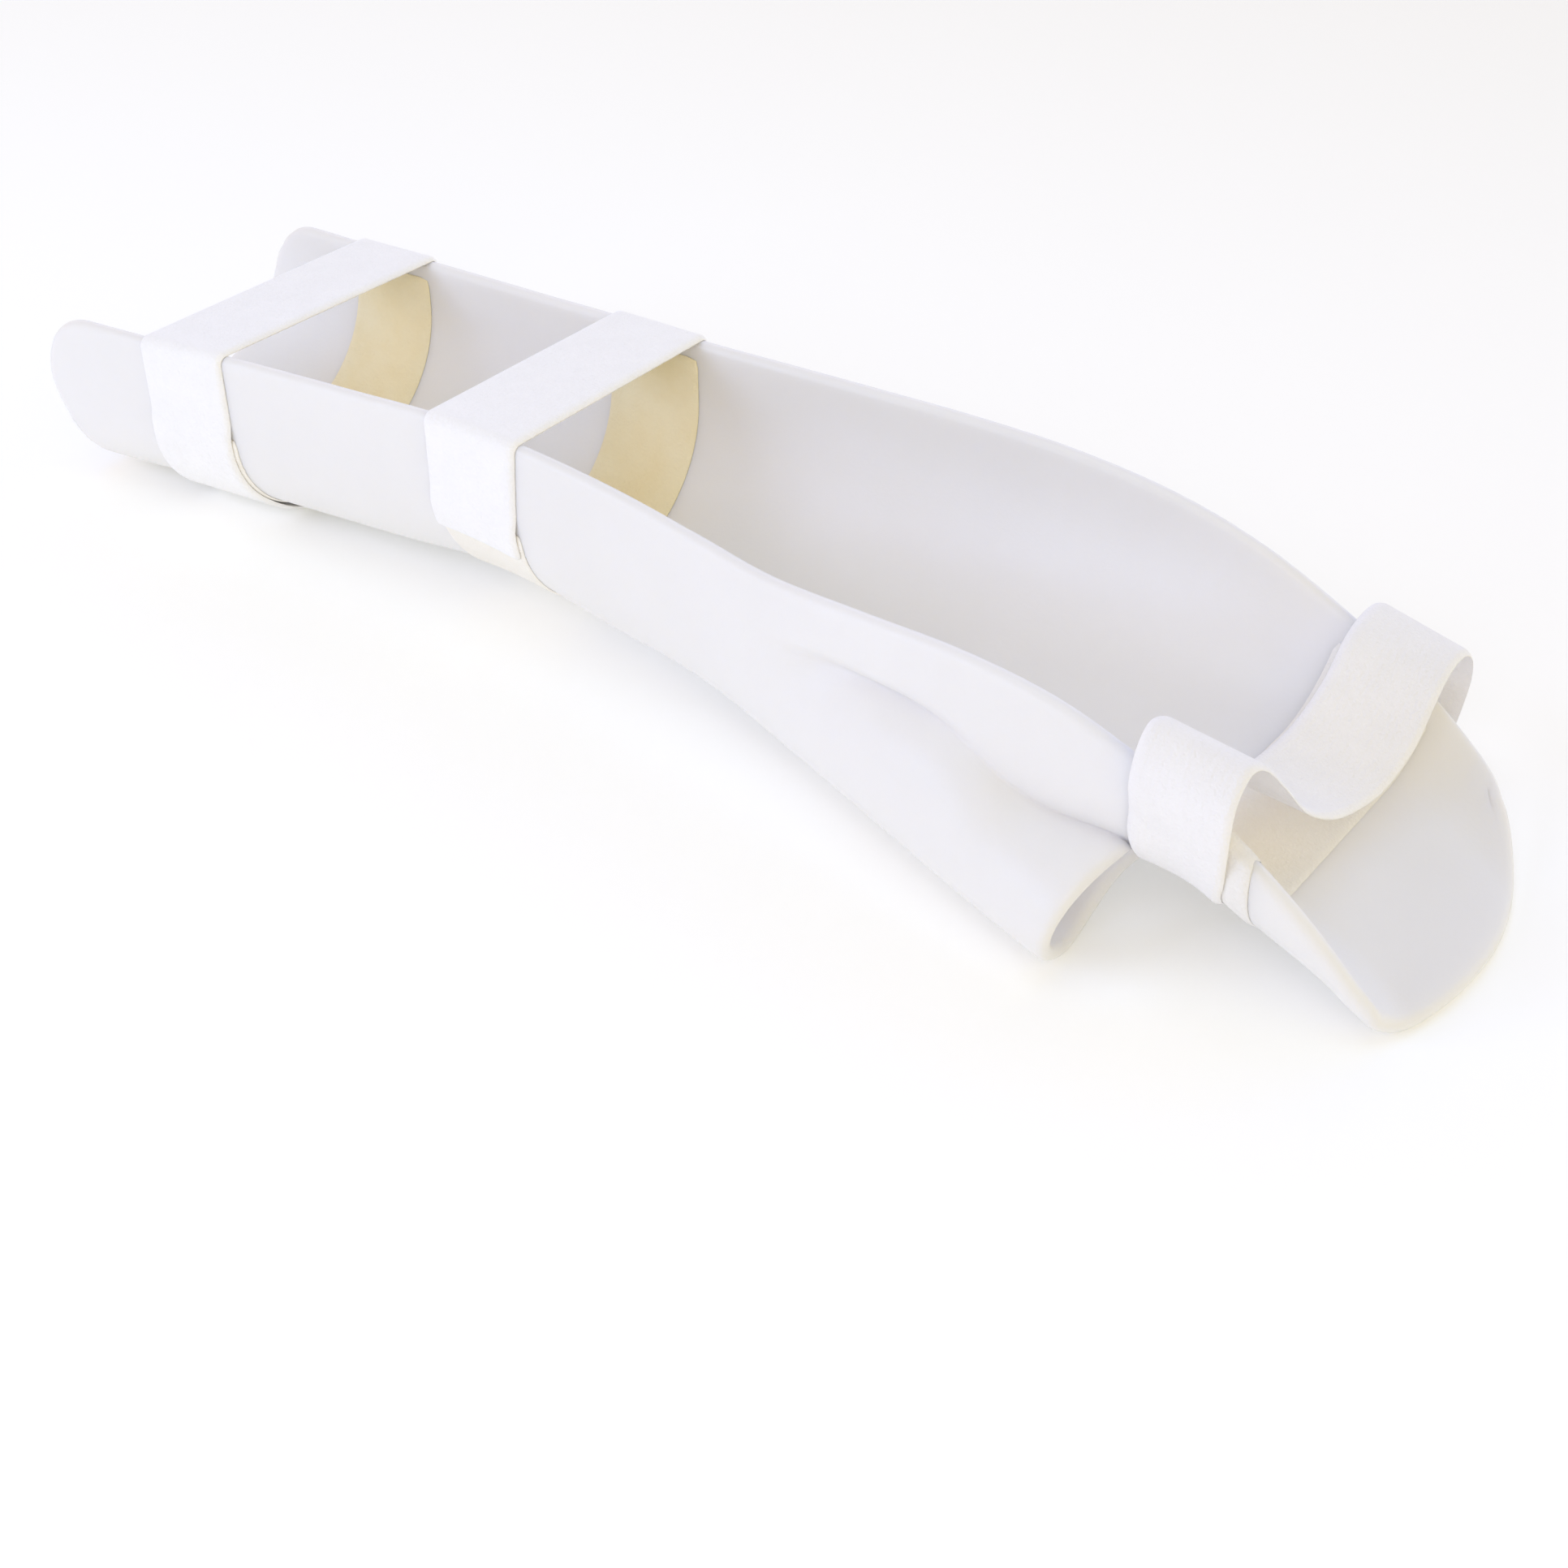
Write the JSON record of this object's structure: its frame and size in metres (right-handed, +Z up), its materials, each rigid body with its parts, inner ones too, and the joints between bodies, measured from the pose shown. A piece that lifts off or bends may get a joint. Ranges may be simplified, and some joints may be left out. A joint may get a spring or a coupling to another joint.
{
  "type": "wrist hand splint",
  "caption": "Resting wrist and hand splint: moulded white thermoplastic trough with finger pan and thumb trough, white straps, cream hook strips and lining bands",
  "frame": {"origin": "centre of the bounding box in X and Y, on the table plane", "axes": "+X runs from the elbow end to the fingertips, +Y points away from the thumb, +Z is up as the splint lies on a table"},
  "size_m": [0.3448, 0.1034, 0.0522],
  "materials": {
    "white_sheet": "smooth satin moulded sheet",
    "white_strap": "soft brushed loop pile",
    "hook_tape": "close field of stiff hooks on woven tape",
    "cream_lining": "soft brushed lining"
  },
  "bodies": {
    "root": {"splint_shell": "white_sheet", "forearm_strap_proximal": "white_strap", "forearm_strap_distal": "white_strap", "finger_strap": "white_strap", "hook_strip_proximal": "hook_tape", "hook_strip_distal": "hook_tape", "lining_band_proximal": "cream_lining", "lining_band_distal": "cream_lining", "lining_band_finger": "cream_lining"}
  },
  "joints": []
}
